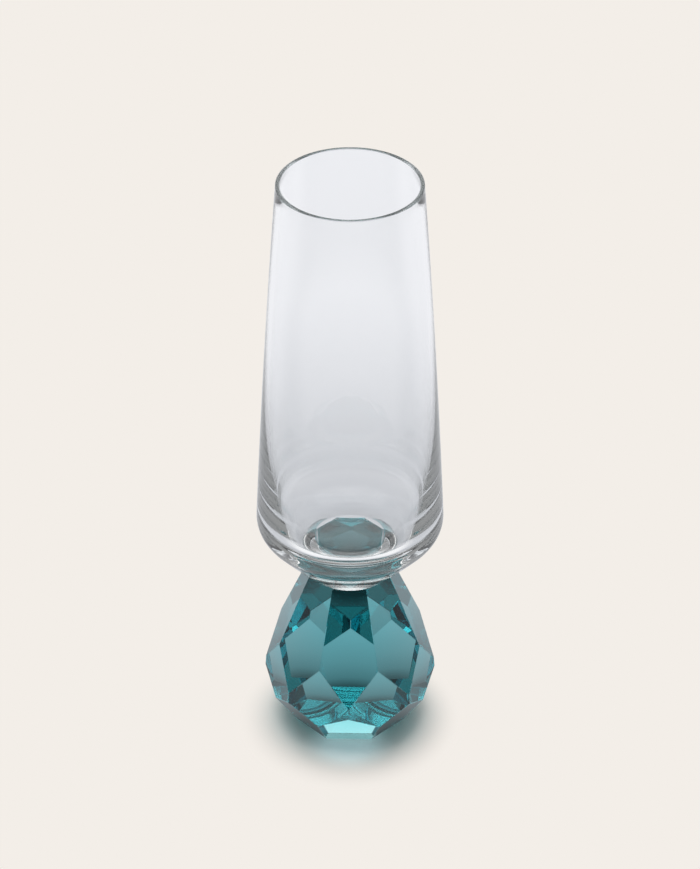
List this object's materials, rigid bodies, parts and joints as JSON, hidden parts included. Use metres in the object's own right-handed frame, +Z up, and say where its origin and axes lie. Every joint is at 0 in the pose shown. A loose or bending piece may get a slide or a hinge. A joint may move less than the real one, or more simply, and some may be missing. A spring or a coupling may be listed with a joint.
{
  "type": "champagne glass",
  "caption": "Stemless champagne flute: clear tapered bowl with a heavy bottom, bonded onto a solid faceted teal crystal foot.",
  "frame": {"origin": "centre of the foot's flat base, on the surface that the glass stands on", "axes": "+Z up along the axis of the bowl and the foot, -Y faces the viewer with one crown facet square to it"},
  "size_m": [0.0596, 0.0596, 0.2],
  "materials": {
    "clear_glass": "fire-polished clear glass",
    "clear_adhesive": "clear cured adhesive",
    "teal_crystal": "cut and polished teal crystal"
  },
  "bodies": {
    "root": {"glass_bowl": "clear_glass", "bond_layer": "clear_adhesive", "crystal_foot": "teal_crystal"}
  },
  "joints": []
}
